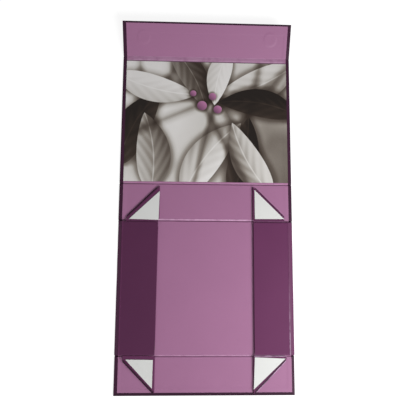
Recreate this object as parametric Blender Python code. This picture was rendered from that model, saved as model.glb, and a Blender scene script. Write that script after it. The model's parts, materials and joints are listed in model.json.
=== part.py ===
# Magnetic gift box, lying open and flat: base in the middle, front wall towards -Y,
# back wall, lid and closing flap towards +Y. The side walls are folded in over the base,
# and a corner tab at each of their ends lies on the front or the back wall.
# Metres, +Z up. The origin is the centre of the base's underside.

import math

import bmesh
import bpy
from mathutils import Matrix


# Driving sizes of the box
box_width = 0.225
base_depth = 0.167
wall_height = 0.046
flap_length = 0.045
flap_raise = math.radians(25)

# Layers of one panel
board_thickness = 0.0018
outer_paper = 0.0002
liner_paper = 0.0002
glue_line = 0.00005
turn_in = 0.0036
liner_edge_gap = 0.0001

# Creases between the panels of the long chain
crease_relief = 0.0004
flap_clearance = 0.0003
crease_end_gap = 0.0003

# Side walls
side_lift = 0.0008
side_stand_off = 0.0003
side_top_clearance = 0.0005
side_edge_clearance = 0.0002
fold_straight = 0.0024
fold_end_gap = 0.00005
fold_arc_steps = 12

# Corner tabs, their tape and the paper that hinges them
tab_board_thickness = 0.0015
tab_lift = 0.0005
tab_tip_margin = 0.003
tab_slant_setback = 0.0006
tab_leg_gap = 0.0005
tab_blunt_end = 0.0032
tab_release_clearance = 0.0003
tab_end_clearance = 0.0041
corner_paper_gap = 0.0003
tape_thickness = 0.0003
release_thickness = 0.00015
tape_free_inset = 0.0009
tape_leg_inset = 0.0012
tape_slant_inset = 0.0032
release_overhang = 0.0003
hinge_paper_width = 0.0024
hinge_paper_offset = 0.0002
hinge_paper_margin = 0.0006

# Closure magnets and the steel catch plates that they hold to
magnet_radius = 0.009
magnet_thickness = 0.0012
magnet_from_edge = 0.0272
magnet_from_crease = 0.0252
catch_radius = 0.009
catch_thickness = 0.0008
disc_clearance = 0.0003
disc_depth_clearance = 0.0001
disc_sides = 40

# One overrun serves every cut, and one distance welds the points of an outline
overrun = 0.002
weld_distance = 0.000001
smooth_below = math.radians(30)

# Worked out from the sizes above
top_layer = max(outer_paper, liner_paper)
panel = outer_paper + glue_line + board_thickness + glue_line + top_layer
crease_gap = panel + crease_relief
board_low = outer_paper + glue_line
board_high = board_low + board_thickness
lid_length = base_depth + crease_gap + panel + flap_clearance
hinge_y = base_depth / 2 + crease_gap

tab_panel = outer_paper + glue_line + tab_board_thickness + glue_line + liner_paper
tab_stack = tab_panel + glue_line + tape_thickness + glue_line + release_thickness
tab_axis_z = panel + (tab_lift + tab_stack + tab_release_clearance) / 2
tab_base_z = panel + tab_lift
tab_top_z = tab_base_z + tab_panel

side_height = wall_height - side_stand_off - side_top_clearance
side_base_z = panel + side_lift
side_top_z = side_base_z + panel
fold_radius = side_top_z / 2
fold_inset = fold_radius + fold_straight
base_inset = fold_inset + side_edge_clearance
side_end_inset = tab_stack + tab_release_clearance + tab_end_clearance - crease_relief
side_half_length = base_depth / 2 - side_end_inset
side_axis_in = (fold_inset + side_top_z - side_stand_off) / 2
side_axis_z = (side_top_z + side_stand_off - fold_inset) / 2

tab_free_u = fold_inset + side_height
tab_tip_v = wall_height - tab_tip_margin
tab_slant_u = tab_free_u - tab_tip_v


def material(name, colour, roughness, metallic=0.0):
    """A Principled material with one colour."""
    made = bpy.data.materials.new(name)
    made.use_nodes = True
    shader = made.node_tree.nodes["Principled BSDF"]
    shader.inputs["Base Color"].default_value = (*colour, 1.0)
    shader.inputs["Roughness"].default_value = roughness
    shader.inputs["Metallic"].default_value = metallic
    made.diffuse_color = (*colour, 1.0)
    return made


def clear_scene():
    for thing in list(bpy.data.objects):
        bpy.data.objects.remove(thing, do_unlink=True)


def new_collection(name):
    made = bpy.data.collections.new(name)
    bpy.context.scene.collection.children.link(made)
    return made


clear_scene()
box_parts = new_collection("magnetic_gift_box")
cutters = new_collection("cutters")

outer_wrap_paper = material("outer_wrap_paper", (0.042, 0.012, 0.028), 0.42)
inner_liner_paper = material("inner_liner_paper", (0.36, 0.16, 0.26), 0.4)
print_paper = material("print_paper", (0.30, 0.26, 0.24), 0.35)
grey_board = material("grey_board", (0.32, 0.30, 0.27), 0.9)
tape_film = material("tape_film", (0.75, 0.75, 0.72), 0.5)
release_paper = material("release_paper", (0.64, 0.64, 0.63), 0.55)
magnet_metal = material("magnet_metal", (0.62, 0.62, 0.63), 0.3, 1.0)
catch_steel = material("catch_steel", (0.5, 0.5, 0.5), 0.4, 1.0)


def pivot(name, place, parent=None, turn_x=0.0):
    """An empty on a joint's axis, which carries the pieces that turn about it."""
    empty = bpy.data.objects.new(name, None)
    box_parts.objects.link(empty)
    empty.location = place
    empty.rotation_euler = (turn_x, 0, 0)
    empty.parent = parent
    return empty


def finish(mesh, name, parent, look):
    """Puts a mesh in the scene as a sub-part."""
    thing = bpy.data.objects.new(name, mesh)
    box_parts.objects.link(thing)
    thing.parent = parent
    mesh.materials.append(look)
    return thing


def as_cutter(mesh, name, parent):
    """Puts a mesh in the scene as a cutter, which is no sub-part."""
    thing = bpy.data.objects.new(name, mesh)
    cutters.objects.link(thing)
    thing.parent = parent
    thing.hide_render = True
    thing.display_type = "WIRE"
    return thing


def box_mesh(name, low, high):
    """A box between two corners."""
    middle = [(a + b) / 2 for a, b in zip(low, high)]
    size = [b - a for a, b in zip(low, high)]
    shape = bmesh.new()
    bmesh.ops.create_cube(shape, size=1)
    bmesh.ops.scale(shape, vec=size, verts=shape.verts)
    bmesh.ops.translate(shape, vec=middle, verts=shape.verts)
    mesh = bpy.data.meshes.new(name)
    shape.to_mesh(mesh)
    shape.free()
    return mesh


def disc_mesh(name, x, y, low, high, radius):
    """An upright disc."""
    shape = bmesh.new()
    bmesh.ops.create_cone(shape, cap_ends=True, segments=disc_sides,
                          radius1=radius, radius2=radius, depth=high - low)
    bmesh.ops.translate(shape, vec=(x, y, (low + high) / 2), verts=shape.verts)
    mesh = bpy.data.meshes.new(name)
    shape.to_mesh(mesh)
    shape.free()
    mesh.shade_smooth()
    mesh.set_sharp_from_angle(angle=smooth_below)
    return mesh


def plate_mesh(name, outline, low, high, stand=None):
    """A flat outline in X and Y, given thickness from low to high. stand turns it."""
    curve = bpy.data.curves.new(name, "CURVE")
    curve.dimensions = "2D"
    curve.fill_mode = "BOTH"
    curve.extrude = (high - low) / 2
    line = curve.splines.new("POLY")
    line.points.add(len(outline) - 1)
    for point, (x, y) in zip(line.points, outline):
        point.co = (x, y, 0, 1)
    line.use_cyclic_u = True
    drawn = bpy.data.objects.new(name, curve)
    cutters.objects.link(drawn)
    bpy.context.view_layer.update()
    mesh = bpy.data.meshes.new_from_object(drawn.evaluated_get(bpy.context.evaluated_depsgraph_get()))
    bpy.data.objects.remove(drawn, do_unlink=True)
    bpy.data.curves.remove(curve)
    shape = bmesh.new()
    shape.from_mesh(mesh)
    bmesh.ops.remove_doubles(shape, verts=shape.verts, dist=weld_distance)
    bmesh.ops.translate(shape, vec=(0, 0, (low + high) / 2), verts=shape.verts)
    if stand is not None:
        bmesh.ops.transform(shape, matrix=stand, verts=shape.verts)
    bmesh.ops.recalc_face_normals(shape, faces=shape.faces)
    shape.to_mesh(mesh)
    shape.free()
    mesh.name = name
    mesh.materials.clear()
    return mesh


def cut(thing, cutter):
    """Takes a cutter's shape out of a sub-part."""
    step = thing.modifiers.new(cutter.name, "BOOLEAN")
    step.operation = "DIFFERENCE"
    step.solver = "EXACT"
    step.object = cutter


# Panels of the chain: board, outer wrap turned in over the side edges, inner liner

def chain_board(name, near, far, carrier, near_edge=0, far_edge=0):
    """The grey board of a panel. An edge that the wrap covers is set back by the paper."""
    side = box_width / 2 - board_low
    mesh = box_mesh(name, (-side, near + near_edge, board_low), (side, far - far_edge, board_high))
    return finish(mesh, name, carrier, grey_board)


def chain_wrap(name, near, far, carrier, near_closed, far_closed):
    """The outer paper under a panel, up its sides and turned in on top."""
    half = box_width / 2
    shell = finish(box_mesh(name, (-half, near, 0), (half, far, panel)), name, carrier, outer_wrap_paper)
    inner = half - outer_paper
    low = near + outer_paper if near_closed else near - overrun
    high = far - outer_paper if far_closed else far + overrun
    pocket = box_mesh(name + "_pocket", (-inner, low, outer_paper), (inner, high, panel - outer_paper))
    cut(shell, as_cutter(pocket, name + "_pocket", carrier))
    inner = half - turn_in
    low = near + turn_in if near_closed else near - overrun
    high = far - turn_in if far_closed else far + overrun
    middle = board_low + board_thickness / 2
    window = box_mesh(name + "_window", (-inner, low, middle), (inner, high, panel + overrun))
    cut(shell, as_cutter(window, name + "_window", carrier))
    return shell


def chain_liner(name, near, far, carrier, look, near_closed=False, far_closed=False):
    """The inner paper of a panel, inside the border that the turned-in wrap leaves."""
    side = box_width / 2 - turn_in - liner_edge_gap
    low = near + turn_in + liner_edge_gap if near_closed else near
    high = far - turn_in - liner_edge_gap if far_closed else far
    mesh = box_mesh(name, (-side, low, panel - liner_paper), (side, high, panel))
    return finish(mesh, name, carrier, look)


def crease_strip(name, near, far, carrier):
    """The two papers glued together where a panel folds."""
    half = box_width / 2 - outer_paper
    thick = outer_paper + glue_line + liner_paper
    mesh = box_mesh(name, (-half, near + crease_end_gap, 0), (half, far - crease_end_gap, thick))
    return finish(mesh, name, carrier, outer_wrap_paper)


def disc_pocket(board, name, x, y, low, high, radius):
    """A round pocket in a board for a magnet or a plate."""
    hole = disc_mesh(name, x, y, low, high, radius + disc_clearance)
    cut(board, as_cutter(hole, name, board.parent))


def base(carrier):
    """The floor of the box. Its papers run on into the folds at all four sides."""
    side = box_width / 2 - base_inset
    end = base_depth / 2
    finish(box_mesh("base_board", (-side, -end, board_low), (side, end, board_high)),
           "base_board", carrier, grey_board)
    finish(box_mesh("base_wrap", (-side, -end, 0), (side, end, outer_paper)),
           "base_wrap", carrier, outer_wrap_paper)
    finish(box_mesh("base_liner", (-side, -end, panel - liner_paper), (side, end, panel)),
           "base_liner", carrier, inner_liner_paper)


def front_wall(carrier):
    """The front wall with its two steel catch plates, which sit under the outer paper."""
    board = chain_board("front_wall_board", -wall_height, 0, carrier, near_edge=board_low)
    chain_wrap("front_wall_wrap", -wall_height, 0, carrier, True, False)
    chain_liner("front_wall_liner", -wall_height, 0, carrier, inner_liner_paper, near_closed=True)
    height = wall_height + crease_gap - magnet_from_crease
    for side, word in ((-1, "left"), (1, "right")):
        x = side * (box_width / 2 - magnet_from_edge)
        top = board_low + catch_thickness
        disc_pocket(board, "catch_pocket_" + word, x, -height, board_low - overrun,
                    top + disc_depth_clearance, catch_radius)
        mesh = disc_mesh("catch_plate_" + word, x, -height, board_low, top, catch_radius)
        finish(mesh, "catch_plate_" + word, carrier, catch_steel)


def back_wall(carrier):
    chain_board("back_wall_board", 0, wall_height, carrier)
    chain_wrap("back_wall_wrap", 0, wall_height, carrier, False, False)
    chain_liner("back_wall_liner", 0, wall_height, carrier, inner_liner_paper)


def lid(carrier):
    chain_board("lid_board", 0, lid_length, carrier)
    chain_wrap("lid_wrap", 0, lid_length, carrier, False, False)
    chain_liner("lid_print", 0, lid_length, carrier, print_paper)


def flap(carrier):
    """The closing flap with its two magnets, which sit just under the inner liner."""
    board = chain_board("flap_board", 0, flap_length, carrier, far_edge=board_low)
    chain_wrap("flap_wrap", 0, flap_length, carrier, False, True)
    chain_liner("flap_liner", 0, flap_length, carrier, inner_liner_paper, far_closed=True)
    for side, word in ((-1, "left"), (1, "right")):
        x = side * (box_width / 2 - magnet_from_edge)
        low = board_high - magnet_thickness
        disc_pocket(board, "magnet_pocket_" + word, x, magnet_from_crease,
                    low - disc_depth_clearance, board_high + overrun, magnet_radius)
        mesh = disc_mesh("magnet_" + word, x, magnet_from_crease, low, board_high, magnet_radius)
        finish(mesh, "magnet_" + word, carrier, magnet_metal)


# Side walls, lying on the base with their outer face up

def side_wall(word, side, carrier):
    """A side wall. X counts from its hinge axis towards the middle of the box."""
    edge = fold_inset - side_axis_in
    free = edge + side_height
    low = side_base_z - side_axis_z
    high = side_top_z - side_axis_z
    end = side_half_length

    def across(x_a, y_a, z_a, x_b, y_b, z_b, name):
        xs = sorted((-side * x_a, -side * x_b))
        return box_mesh(name, (xs[0], y_a, z_a), (xs[1], y_b, z_b))

    name = word + "_wall_wrap"
    shell = finish(across(edge, -end, low, free, end, high, name), name, carrier, outer_wrap_paper)
    pocket = across(edge - overrun, -end + outer_paper, low - overrun,
                    free - outer_paper, end - outer_paper, high - outer_paper, name + "_pocket")
    cut(shell, as_cutter(pocket, name + "_pocket", carrier))

    name = word + "_wall_board"
    rim = outer_paper + glue_line
    board = across(edge, -end + rim, high - board_high, free - rim, end - rim, high - board_low, name)
    finish(board, name, carrier, grey_board)
    name = word + "_wall_liner"
    liner = across(edge, -end + rim, low, free - rim, end - rim, low + liner_paper, name)
    finish(liner, name, carrier, inner_liner_paper)


def side_fold(word, side, carrier):
    """The paper that loops from the base's underside over to the side wall's outer face."""
    edge = box_width / 2
    outline = [(fold_inset - fold_end_gap, side_top_z)]
    for step in range(fold_arc_steps + 1):
        angle = math.pi / 2 + math.pi * step / fold_arc_steps
        outline.append((fold_radius + fold_radius * math.cos(angle),
                        fold_radius + fold_radius * math.sin(angle)))
    outline.append((base_inset - fold_end_gap, 0))
    outline.append((base_inset - fold_end_gap, outer_paper))
    inner = fold_radius - outer_paper
    for step in range(fold_arc_steps + 1):
        angle = math.pi * 3 / 2 - math.pi * step / fold_arc_steps
        outline.append((fold_radius + inner * math.cos(angle), fold_radius + inner * math.sin(angle)))
    outline.append((fold_inset - fold_end_gap, side_top_z - outer_paper))
    outline = [(side * (edge - x), z) for x, z in outline]
    name = word + "_fold_paper"
    stand = Matrix.Rotation(math.pi / 2, 4, "X")
    mesh = plate_mesh(name, outline, -base_depth / 2, base_depth / 2, stand)
    finish(mesh, name, carrier, outer_wrap_paper)


# Corner tabs. In their outlines u counts from the box's side edge towards the middle,
# and v from the wall's hinge edge towards its free edge. The hinge runs at 45 degrees.

slant_step = math.sqrt(2)


def tab_outline(leg, free, slant, start):
    """A right-angled outline, set in from the two legs and the slant, with a blunt end."""
    u_far = tab_free_u - free
    u_near = tab_slant_u + start
    v_low = tab_leg_gap + leg
    back = tab_slant_u + slant * slant_step
    corners = [(u_near, v_low), (u_far, v_low), (u_far, u_far - back)]
    if u_near - back > v_low:
        corners.append((u_near, u_near - back))
    else:
        corners[0] = (v_low + back, v_low)
    return corners


def corner_tab(word, x_side, y_side, carrier):
    """One tab with its board, wrap, liner, tape and release paper, and its hinge paper."""
    axis = carrier.location

    def place(outline):
        return [(x_side * (box_width / 2 - u) - axis.x, y_side * v - axis.y) for u, v in outline]

    def prism(name, outline, low, high):
        return plate_mesh(name, place(outline), low - tab_axis_z, high - tab_axis_z)

    set_back = tab_slant_setback
    name = word + "_tab_wrap"
    shell = finish(prism(name, tab_outline(0, 0, set_back, tab_blunt_end), tab_base_z, tab_top_z),
                   name, carrier, outer_wrap_paper)
    rim = outer_paper
    pocket = tab_outline(rim, rim, set_back + rim, tab_blunt_end + rim)
    cut(shell, as_cutter(prism(name + "_pocket", pocket, tab_base_z - overrun, tab_top_z - rim),
                         name + "_pocket", carrier))

    rim = outer_paper + glue_line
    inner = tab_outline(rim, rim, set_back + rim, tab_blunt_end + rim)
    name = word + "_tab_liner"
    finish(prism(name, inner, tab_base_z, tab_base_z + liner_paper), name, carrier, inner_liner_paper)
    name = word + "_tab_board"
    board_base = tab_base_z + liner_paper + glue_line
    finish(prism(name, inner, board_base, board_base + tab_board_thickness), name, carrier, grey_board)

    name = word + "_tape"
    tape_base = tab_top_z + glue_line
    tape_top = tape_base + tape_thickness
    tape = tab_outline(tape_leg_inset, tape_free_inset, set_back + tape_slant_inset, tab_blunt_end)
    finish(prism(name, tape, tape_base, tape_top), name, carrier, tape_film)
    name = word + "_release_paper"
    spare = release_overhang
    cover = tab_outline(tape_leg_inset - spare, tape_free_inset - spare,
                        set_back + tape_slant_inset - spare, tab_blunt_end)
    finish(prism(name, cover, tape_top + glue_line, tape_top + glue_line + release_thickness),
           name, carrier, release_paper)


def tab_hinge_paper(word, x_side, y_side, carrier):
    """The paper strip that joins a tab's slant to the wall under it."""
    name = word + "_hinge_paper"
    reach = (tab_tip_v - tab_blunt_end) * slant_step / 2 - hinge_paper_margin
    low = hinge_paper_offset
    mesh = box_mesh(name, (-reach, low, panel + glue_line),
                    (reach, low + hinge_paper_width, panel + glue_line + outer_paper))
    thing = finish(mesh, name, carrier, outer_wrap_paper)
    middle_v = (tab_tip_v + tab_blunt_end) / 2
    middle_u = middle_v + tab_slant_u
    thing.location = (x_side * (box_width / 2 - middle_u), y_side * middle_v, 0)
    thing.rotation_euler = (0, 0, math.atan2(y_side, x_side) - math.pi / 2)


def corner_paper(word, x_side, y_side, carrier):
    """The creased paper between a side wall's end and its tab."""
    name = word + "_corner_paper"
    near = side_half_length + corner_paper_gap
    far = hinge_y + tab_leg_gap - corner_paper_gap
    corners = [(fold_inset, near), (tab_free_u, near), (tab_free_u, far),
               (tab_slant_u + tab_blunt_end, far)]
    at = carrier.location
    outline = [(x_side * (box_width / 2 - u) - at.x, y_side * y) for u, y in corners]
    mesh = plate_mesh(name, outline, tab_top_z - outer_paper - at.z, tab_top_z - at.z)
    finish(mesh, name, carrier, outer_wrap_paper)


# The assembly: each pivot stands on the axis that its pieces turn about

root = pivot("box_frame", (0, 0, 0))
front_pivot = pivot("front_wall_pivot", (0, -hinge_y, 0), root)
back_pivot = pivot("back_wall_pivot", (0, hinge_y, 0), root)
lid_pivot = pivot("lid_pivot", (0, wall_height + crease_gap, 0), back_pivot)
flap_pivot = pivot("flap_pivot", (0, lid_length + crease_gap, 0), lid_pivot, flap_raise)

base(root)
front_wall(front_pivot)
back_wall(back_pivot)
lid(lid_pivot)
flap(flap_pivot)

crease_strip("front_crease_paper", -hinge_y, -base_depth / 2, root)
crease_strip("back_crease_paper", base_depth / 2, hinge_y, root)
crease_strip("lid_crease_paper", wall_height, wall_height + crease_gap, back_pivot)
crease_strip("flap_crease_paper", lid_length, lid_length + crease_gap, lid_pivot)

for side_word, x_sign in (("left", -1), ("right", 1)):
    side_pivot = pivot(side_word + "_wall_pivot",
                       (x_sign * (box_width / 2 - side_axis_in), 0, side_axis_z), root)
    side_wall(side_word, x_sign, side_pivot)
    side_fold(side_word, x_sign, root)
    for end_word, y_sign, wall_pivot in (("front", -1, front_pivot), ("back", 1, back_pivot)):
        tab_word = end_word + "_" + side_word
        start = (x_sign * (box_width / 2 - tab_slant_u), 0, tab_axis_z)
        tab_pivot = pivot(tab_word + "_tab_pivot", start, wall_pivot)
        corner_tab(tab_word, x_sign, y_sign, tab_pivot)
        tab_hinge_paper(tab_word, x_sign, y_sign, wall_pivot)
        corner_paper(tab_word, x_sign, y_sign, side_pivot)
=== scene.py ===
import json
import math

import bmesh
import bpy
from mathutils import Matrix, Vector, noise


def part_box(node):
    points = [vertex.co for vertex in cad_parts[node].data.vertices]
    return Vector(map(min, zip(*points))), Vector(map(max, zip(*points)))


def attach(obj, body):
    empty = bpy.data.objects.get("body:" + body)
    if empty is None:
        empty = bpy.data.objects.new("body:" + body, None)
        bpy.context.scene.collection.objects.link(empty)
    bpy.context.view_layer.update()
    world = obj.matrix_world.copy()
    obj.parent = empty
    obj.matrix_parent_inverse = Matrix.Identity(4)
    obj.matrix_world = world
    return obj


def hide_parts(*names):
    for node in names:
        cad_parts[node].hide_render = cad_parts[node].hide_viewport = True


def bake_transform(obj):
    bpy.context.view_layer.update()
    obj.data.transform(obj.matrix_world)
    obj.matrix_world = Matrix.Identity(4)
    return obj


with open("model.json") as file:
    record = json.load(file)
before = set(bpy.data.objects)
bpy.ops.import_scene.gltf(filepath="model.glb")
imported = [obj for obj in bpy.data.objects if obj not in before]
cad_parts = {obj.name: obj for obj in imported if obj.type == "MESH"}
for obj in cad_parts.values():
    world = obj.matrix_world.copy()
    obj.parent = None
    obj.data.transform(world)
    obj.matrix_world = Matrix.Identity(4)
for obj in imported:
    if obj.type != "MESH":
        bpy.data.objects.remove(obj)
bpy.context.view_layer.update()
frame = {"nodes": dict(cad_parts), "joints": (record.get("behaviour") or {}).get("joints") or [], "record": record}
mm = 0.001
jointOf = {joint["name"]: joint for joint in frame["joints"]}
print("frame loaded,", len(frame["nodes"]), "nodes")

# Where the panels lie, read from the frame: the long chain runs along Y
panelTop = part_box("base_liner")[1].z
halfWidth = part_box("lid_wrap")[1].x
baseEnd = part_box("base_board")[1].y
wallStart = jointOf["back_wall_fold"]["pos_m"][1]
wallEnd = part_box("back_wall_wrap")[1].y
lidStart = jointOf["lid_fold"]["pos_m"][1]
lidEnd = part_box("lid_wrap")[1].y
flapStart = jointOf["flap_fold"]["pos_m"][1]
flapRaise = -math.radians(jointOf["flap_fold"]["range_deg"][0])
flapLength = (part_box("flap_wrap")[1].y - flapStart) / math.cos(flapRaise)
creaseGap = wallStart - baseEnd
sideLow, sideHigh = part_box("left_wall_wrap")
sideTop = sideHigh.z
sideNear = halfWidth + sideLow.x
sideEnd = sideHigh.y

# The sheets that cover the boards
paper = {
    "thickness": 0.2 * mm,
    "stripShare": 0.5,        # of that, for the strip turned in over an end
    "turnIn": 8.0 * mm,       # the wrap's width turned in over a board's edge
    "endTurnIn": 13.5 * mm,   # and at the flap's end
    "tuck": 1.0 * mm,         # how far an end's strip is drawn on under the liner
    "endShade": 1.2,          # painted shade: that strip is drawn a little darker still
    "stepWidth": 0.7 * mm,    # the wrap's edge shows through the liner as a faint step
    "stepDrop": 0.10 * mm,
    "border": 4.1 * mm,       # what the liner leaves of the wrap along the sides
    "frontBorder": 3.8 * mm,  # at the front wall's end
    "flapBorder": 2.3 * mm,   # and at the flap's end
    "slip": 0.2 * mm,         # the liners were laid a little to the right
    "frontSlip": 0.6 * mm,
    "swell": 0.6 * mm,        # the folded wrap stands off the boards' sides
    "frontSwell": 0.0,        # but is drawn tight round the front wall
    "linerRise": 0.14 * mm,   # the liner lies on the turned-in wrap
    "stripRise": 0.7,         # the share of that at which an end's strip lies
    "lidOverlap": 4.8 * mm,   # how far the flap's liner reaches over the lid
    "lipRun": 1.5 * mm,       # how far a crease's paper runs onto the panels
    "edgeRadius": 0.55 * mm,
    "ripple": 0.05 * mm,      # the sheets aren't quite flat
    "rippleSpacing": 45 * mm,
    "cell": 4 * mm,           # their grid
    "stripGrid": (24, 3),     # and an end strip's
}

# The photograph's viewpoint, from above the base and slightly to its left
camera = {
    "place": (-19.3 * mm, 22.87 * mm, 584.18 * mm),
    "turn": (7.743, -2.155, 0.612),   # degrees about X, Y and Z, each in the turned frame
    "lens": 38.94,
    "sensor": 36,
    "nearest": 10 * mm,
}


def addItem(name, data):
    item = bpy.data.objects.new(name, data)
    bpy.context.scene.collection.objects.link(item)
    return item


def setCamera():
    lens = bpy.data.cameras.new("photographCamera")
    lens.lens = camera["lens"]
    lens.sensor_width = camera["sensor"]
    lens.clip_start = camera["nearest"]
    viewer = addItem("photographCamera", lens)
    turns = [Matrix.Rotation(math.radians(angle), 4, axis) for angle, axis in zip(camera["turn"], "XYZ")]
    viewer.matrix_world = Matrix.Translation(camera["place"]) @ turns[0] @ turns[1] @ turns[2]
    bpy.context.scene.camera = viewer


setCamera()
print("camera placed")


class Wire:
    # one output of a shader node; a sum on it adds the Math node

    def __init__(self, look, socket):
        self.look = look
        self.socket = socket

    def sum(self, operation, first, second):
        return self.look.node("Math", {"operation": operation}, {0: first, 1: second})

    def __add__(self, other):
        return self.sum("ADD", self, other)

    __radd__ = __add__

    def __sub__(self, other):
        return self.sum("SUBTRACT", self, other)

    def __rsub__(self, other):
        return self.sum("SUBTRACT", other, self)

    def __mul__(self, other):
        return self.sum("MULTIPLY", self, other)

    def __truediv__(self, other):
        return self.sum("DIVIDE", self, other)

    def __pow__(self, other):
        return self.sum("POWER", self, other)

    def __abs__(self):
        return self.sum("ABSOLUTE", self, 0)

    def above(self, other):
        return self.sum("MAXIMUM", self, other)

    def below(self, other):
        return self.sum("MINIMUM", self, other)

    def wave(self):
        return self.sum("SINE", self, 0)

    def step(self, low, high):
        # 0 up to low, 1 from high on, smooth between
        values = {0: self, 1: low, 2: high, 3: 0, 4: 1}
        return self.look.node("MapRange", {"interpolation_type": "SMOOTHSTEP"}, values)


class Nodes:
    # adds nodes to a tree

    def __init__(self, tree):
        self.tree = tree

    def node(self, kind, settings=None, values=None, out=0):
        made = self.tree.nodes.new("ShaderNode" + kind)
        for name, value in (settings or {}).items():
            if name == "stops":
                self.setStops(made.color_ramp, value)
            else:
                setattr(made, name, value)
        for name, value in (values or {}).items():
            self.join(made.inputs[name], value)
        return Wire(self, made.outputs[out])

    def join(self, socket, value):
        if isinstance(value, Wire):
            self.tree.links.new(value.socket, socket)
        else:
            socket.default_value = value

    def setStops(self, ramp, stops):
        while len(ramp.elements) < len(stops):
            ramp.elements.new(1)
        for element, (place, colour) in zip(ramp.elements, stops):
            element.position = place
            element.color = (*colour, 1)

    def seenDirectly(self):
        # 1 for what the camera sees, also by gloss or glass, and 0 for light that falls on things
        rays = self.node("LightPath", None, None, "Is Camera Ray")
        outputs = rays.socket.node.outputs
        glossy = Wire(self, outputs["Is Glossy Ray"])
        through = Wire(self, outputs["Is Transmission Ray"])
        return (rays + glossy + through).below(1)


class Look(Nodes):
    # a material whose pattern follows the piece's own coordinates

    def __init__(self, name, metallic=0.0, specular=0.5):
        self.material = bpy.data.materials.new(name)
        self.material.use_nodes = True
        Nodes.__init__(self, self.material.node_tree)
        self.shader = self.tree.nodes["Principled BSDF"]
        self.feed({"Metallic": metallic, "Specular IOR Level": specular})
        self.point = self.node("TexCoord", out="Object")

    def feed(self, values):
        for name, value in values.items():
            self.join(self.shader.inputs[name], value)

    def speckle(self, scale, detail=2.0, distortion=0.0):
        # a noise between 0 and 1, finer with a higher scale
        return self.node("TexNoise", None,
                         {"Vector": self.point, "Scale": scale, "Detail": detail, "Distortion": distortion})

    def mix(self, first, second, share):
        # colours only
        return self.node("Mix", {"data_type": "RGBA"}, {0: share, 6: first, 7: second}, out=2)

    def shade(self, colour, amount):
        # a colour made lighter or darker; an amount of 1 leaves it alone
        return self.node("VectorMath", {"operation": "SCALE"}, {0: colour, "Scale": amount})

    def flatParts(self):
        # the coordinates across and along a sheet
        split = self.node("SeparateXYZ", None, {0: self.point})
        sockets = split.socket.node.outputs
        return Wire(self, sockets[0]), Wire(self, sockets[1])

    def paint(self, colour, roughness, height, depth):
        bump = self.node("Bump", None, {"Height": height, "Distance": depth, "Strength": 1.0})
        self.feed({"Base Color": colour, "Roughness": roughness, "Normal": bump})
        return self.material


noiseMiddle = 0.5   # the middle of a noise's range

# Laminated papers: a fine fibre grain under a satin film, with slow clouding
paperLook = {
    "wrap": {"name": "plumWrapPaper", "colour": (0.108, 0.0265, 0.079), "roughness": 0.46, "cloud": 0.16,
             "specular": 0.14,
             "turnedIn": 0.63,        # painted shade: the turned-in strips are drawn darker than the faces
             "worn": (0.50, 0.34, 0.48)},    # the colour of the painted highlight on folded edges
    "liner": {"name": "mauveLinerPaper", "colour": (0.336, 0.145, 0.268), "roughness": 0.44, "cloud": 0.08,
              "specular": 0.34,
              "turnedIn": 0.50,       # painted shade in the liner's creases
              "worn": (0.56, 0.335, 0.50)},
    "clouding": 16,
    "grain": 900,
    "fibre": 2600,
    "patch": 120,
    "detail": 3.0,
    "grainShare": 0.6,                # of the clouding's strength, and of the relief
    "cloudGloss": 0.12,
    "grainGloss": 0.08,
    "patchEdge": (0.30, 0.62),
    "patchLeast": 0.35,               # what is left of the painted highlight between its patches
    "relief": 0.02 * mm,
}


def satinPaper(kind):
    form = paperLook[kind]
    detail = paperLook["detail"]
    grainShare = paperLook["grainShare"]
    patchLeast = paperLook["patchLeast"]
    look = Look(form["name"], specular=form["specular"])
    slow = look.speckle(paperLook["clouding"], detail) - noiseMiddle
    fine = look.speckle(paperLook["grain"], detail)
    grain = fine - noiseMiddle
    fibre = look.speckle(paperLook["fibre"])
    tone = 1 + slow * form["cloud"] + grain * form["cloud"] * grainShare
    gloss = form["roughness"] + slow * paperLook["cloudGloss"] + grain * paperLook["grainGloss"]
    relief = fine * grainShare + fibre * (1 - grainShare)
    # painted shade and painted highlight, given at each vertex by the pieces
    shadeShare = look.node("Attribute", {"attribute_name": "turnedIn"}, out="Fac")
    worn = look.node("Attribute", {"attribute_name": "worn"}, out="Fac")
    patch = look.speckle(paperLook["patch"], detail).step(*paperLook["patchEdge"])
    shaded = look.shade(form["colour"], tone * (1 - shadeShare * form["turnedIn"]))
    highlighted = look.mix(shaded, (*form["worn"], 1), worn * (patchLeast + patch * (1 - patchLeast)))
    return look.paint(highlighted, gloss, relief, paperLook["relief"])


# The other materials. A noise is its scale, its detail and what it adds to the tone;
# the last one is also the relief and changes the gloss.
plainLooks = {
    "whiteReleasePaper": {"colour": (0.665, 0.67, 0.655), "tone": 0.945, "gloss": (0.46, 0.1),
                          "noises": [(45, 2.0, 0.05), (1500, 4.0, 0.06)], "relief": 0.02 * mm},
    "adhesiveTapeFilm": {"colour": (0.72, 0.71, 0.66), "tone": 0.95, "gloss": (0.28, 0.2),
                         "noises": [(400, 3.0, 0.1)], "relief": 0.03 * mm},
    "greyBoard": {"colour": (0.30, 0.28, 0.25), "tone": 0.86, "gloss": (0.82, 0.12),
                  "noises": [(700, 5.0, 0.3)], "relief": 0.06 * mm,
                  "flecks": (2600, 0.62, 0.72, 0.22)},   # scale, edges and how dark they are
    "nickelMagnet": {"colour": (0.62, 0.61, 0.59), "tone": 0.92, "gloss": (0.25, 0.1),
                     "noises": [(1800, 2.0, 0.16)], "relief": 0.01 * mm, "metallic": 1.0},
    "catchSteel": {"colour": (0.46, 0.46, 0.47), "tone": 0.92, "gloss": (0.38, 0.1),
                   "noises": [(1800, 2.0, 0.16)], "relief": 0.01 * mm, "metallic": 1.0},
}


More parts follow.
